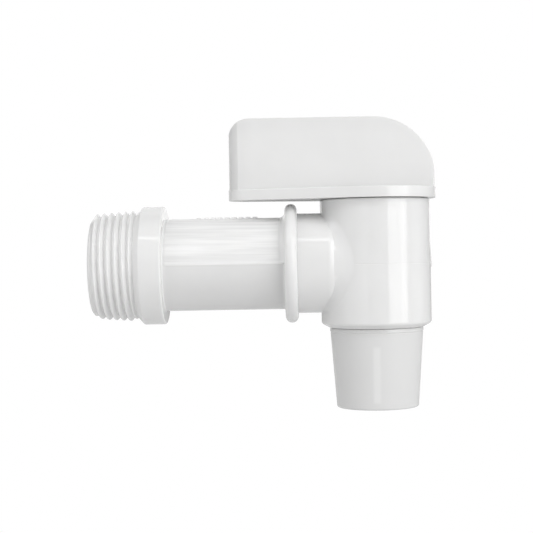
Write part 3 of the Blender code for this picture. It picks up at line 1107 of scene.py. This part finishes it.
@dataclass
class SeatRing:
    """The saddle seat that the barrel's end holds against the plug, in millimetres."""

    start: float = 45.6
    flange_end: float = 46.7
    flange_radius: float = 9.9
    tube_radius: float = 7.1
    bore_radius: float = 5.6
    tube_end: float = 52.1
    saddle_radius: float = 11.15
    saddle_half: float = 9.0

    def build(self, material: bpy.types.Material) -> None:
        """Make the seat."""
        path: list[Corner] = [
            (self.start, self.flange_radius, 0.15), (self.flange_end, self.flange_radius, 0.15),
            (self.flange_end, self.tube_radius, 0.2), (self.tube_end, self.tube_radius, 0.0),
            (self.tube_end, self.bore_radius, 0.0), (self.start, self.bore_radius, 0.2),
        ]
        seat = Bench.turned("seat", rounded_path(path, True), Way.INLET, closed=True, steps=96)
        high, radius = self.saddle_half, self.saddle_radius
        saddle: list[Corner] = [
            (-high, 0.0, 0.0), (-high, radius, 0.0), (high, radius, 0.0), (high, 0.0, 0.0),
        ]
        Bench.hollow(seat, "saddle", saddle, Way.UPRIGHT, 160)
        Bench.smooth(seat)
        fit_out(seat, "seat_ring", "housing", material)


@dataclass(frozen=True)
class SoftLight:
    """A rectangular soft light that faces a point of the tap."""

    name: str
    azimuth: float
    elevation: float
    distance: float
    size: Point
    power: float
    aim: Point3 = (0.035, 0.0, 0.0)

    def build(self) -> None:
        """Hang the light."""
        data = bpy.data.lights.new(self.name, "AREA")
        data.shape = "RECTANGLE"
        data.size, data.size_y = self.size
        data.energy = self.power
        lamp = bpy.data.objects.new(self.name, data)
        bpy.context.scene.collection.objects.link(lamp)
        a, e = math.radians(self.azimuth), math.radians(self.elevation)
        away = Vector((math.sin(a) * math.cos(e), -math.cos(a) * math.cos(e), math.sin(e)))
        lamp.location = Vector(self.aim) + away * self.distance
        lamp.rotation_euler = (-away).to_track_quat("-Z", "Y").to_euler()
        lamp.visible_camera = False


def split_rays(tree: bpy.types.NodeTree, felt: Socket, shown: Socket, output: str) -> None:
    """Light the tap with one shader and show the camera another.

    Args:
        tree: The node tree.
        felt: What lights the tap and is reflected in it.
        shown: What the camera sees.
        output: The name of the tree's output node.
    """
    rays = tree.nodes.new("ShaderNodeLightPath")
    mix = tree.nodes.new("ShaderNodeMixShader")
    tree.links.new(rays.outputs["Is Camera Ray"], mix.inputs["Fac"])
    tree.links.new(felt, mix.inputs[1])
    tree.links.new(shown, mix.inputs[2])
    tree.links.new(mix.outputs["Shader"], tree.nodes[output].inputs["Surface"])


@dataclass
class Studio:
    """A plain pale floor, an even pale surround and soft lights."""

    floor_height: float = -0.09
    floor_size: float = 12.0
    surround_strength: float = 0.36
    floor_glow: float = 0.24
    lights: tuple[SoftLight, ...] = (
        SoftLight("right_box", 45.5, 15.0, 0.9, (0.71, 0.95), 5.4),
        SoftLight("right_core", 57.0, 15.0, 0.9, (0.15, 0.95), 0.35),
        SoftLight("right_rear", 92.0, 12.0, 0.9, (0.45, 0.9), 0.4),
        SoftLight("left_box", -48.0, 12.0, 0.9, (1.1, 0.9), 1.9),
        SoftLight("left_high", -75.0, 40.0, 0.9, (0.5, 0.5), 1.4),
        SoftLight("over_strip", 0.0, 55.5, 0.9, (1.3, 0.1), 1.3),
        SoftLight("over_top", 0.0, 80.0, 0.9, (1.3, 0.3), 0.3),
        SoftLight("rear", 180.0, 40.0, 1.0, (1.2, 0.8), 2.0),
        SoftLight("rear_low", 180.0, 8.0, 0.9, (1.0, 0.25), 0.6),
    )

    def build(self) -> None:
        """Set up the surround, the floor and the lights."""
        self.build_surround()
        self.build_floor()
        for light in self.lights:
            light.build()
        bpy.context.scene.view_settings.view_transform = "Standard"

    def build_surround(self) -> None:
        """White behind the tap, and a softer grey for its light and reflections."""
        world = bpy.data.worlds.new("surround")
        bpy.context.scene.world = world
        world.use_nodes = True
        tree = world.node_tree
        shown = tree.nodes["Background"]
        shown.inputs["Color"].default_value = (1.0, 1.0, 1.0, 1.0)
        shown.inputs["Strength"].default_value = 1.0
        felt = tree.nodes.new("ShaderNodeBackground")
        felt.inputs["Strength"].default_value = self.surround_strength
        split_rays(tree, felt.outputs["Background"], shown.outputs["Background"], "World Output")

    def build_floor(self) -> None:
        """The floor, bright enough to meet the surround without a line."""
        bpy.ops.object.select_all(action="DESELECT")
        bpy.ops.mesh.primitive_plane_add(size=self.floor_size, location=(0.0, 0.0, self.floor_height))
        floor = bpy.context.object
        floor.name = "floor"
        made = bpy.data.materials.new("pale_floor")
        made.use_nodes = True
        tree = made.node_tree
        matt = tree.nodes["Principled BSDF"]
        matt.inputs["Base Color"].default_value = (0.5, 0.5, 0.5, 1.0)
        matt.inputs["Roughness"].default_value = 0.9
        matt.inputs["Emission Color"].default_value = (1.0, 1.0, 1.0, 1.0)
        matt.inputs["Emission Strength"].default_value = self.floor_glow
        glow = tree.nodes.new("ShaderNodeEmission")
        split_rays(tree, matt.outputs["BSDF"], glow.outputs["Emission"], "Material Output")
        floor.data.materials.append(made)


@dataclass(frozen=True)
class Eye:
    """The camera: level with the inlet, square to the tap's side and turned a little on its own axis."""

    place: Point3 = (0.0425, -0.341, 0.0037)
    lens: float = 91.2
    roll: float = 1.0
    shift: Point = (-0.075, -0.034)

    def build(self) -> None:
        """Make the camera and set it as the scene's own."""
        data = bpy.data.cameras.new("eye")
        data.lens = self.lens
        data.sensor_width = 36.0
        data.shift_x, data.shift_y = self.shift
        data.clip_start = 0.01
        camera = bpy.data.objects.new("eye", data)
        bpy.context.scene.collection.objects.link(camera)
        camera.location = self.place
        camera.rotation_euler = (math.radians(90), math.radians(self.roll), 0.0)
        bpy.context.scene.camera = camera


def main() -> None:
    """Build each sub-assembly in order, then the studio."""
    logging.basicConfig(level=logging.INFO, format="%(message)s")
    Eye().build()
    rubber = SealRubber().make()
    pipe_colour = (0.83, 0.83, 0.827)
    body_colour = (0.812, 0.812, 0.809)
    InletBarrel().build(NaturalPolyethylene("polyethylene_barrel", pipe_colour, 0.1, grain=Grain.DRAWN))
    ValveBody().build(NaturalPolyethylene("polyethylene_body", body_colour, 0.1))
    spout_finish = NaturalPolyethylene(
        "polyethylene_nozzle", (0.725, 0.725, 0.722), 0.19, milkiness=0.0,
        pale_strip=((58.4, 60.1), (-34.6, -20.8)), mottle=0.2,
    )
    OutletNozzle().build(spout_finish)
    ValvePlug().build(NaturalPolyethylene("polyethylene_plug", roughness=0.3))
    # The lever's finish carries painted shade on its blade.
    LeverHandle().build(NaturalPolyethylene("polyethylene_lever", body_colour, 0.18, cored=True))
    SealRing("barrel_oring", "housing", Way.INLET, 43.0, 9.75, 0.45).build(rubber)
    SealRing("plug_oring_upper", "rotor", Way.UPRIGHT, 9.1, 10.3, 0.6).build(rubber)
    SealRing("plug_oring_lower", "rotor", Way.UPRIGHT, -9.1, 10.3, 0.6).build(rubber)
    SeatRing().build(SeatElastomer().make())
    Studio().build()


if __name__ == "__main__":
    main()
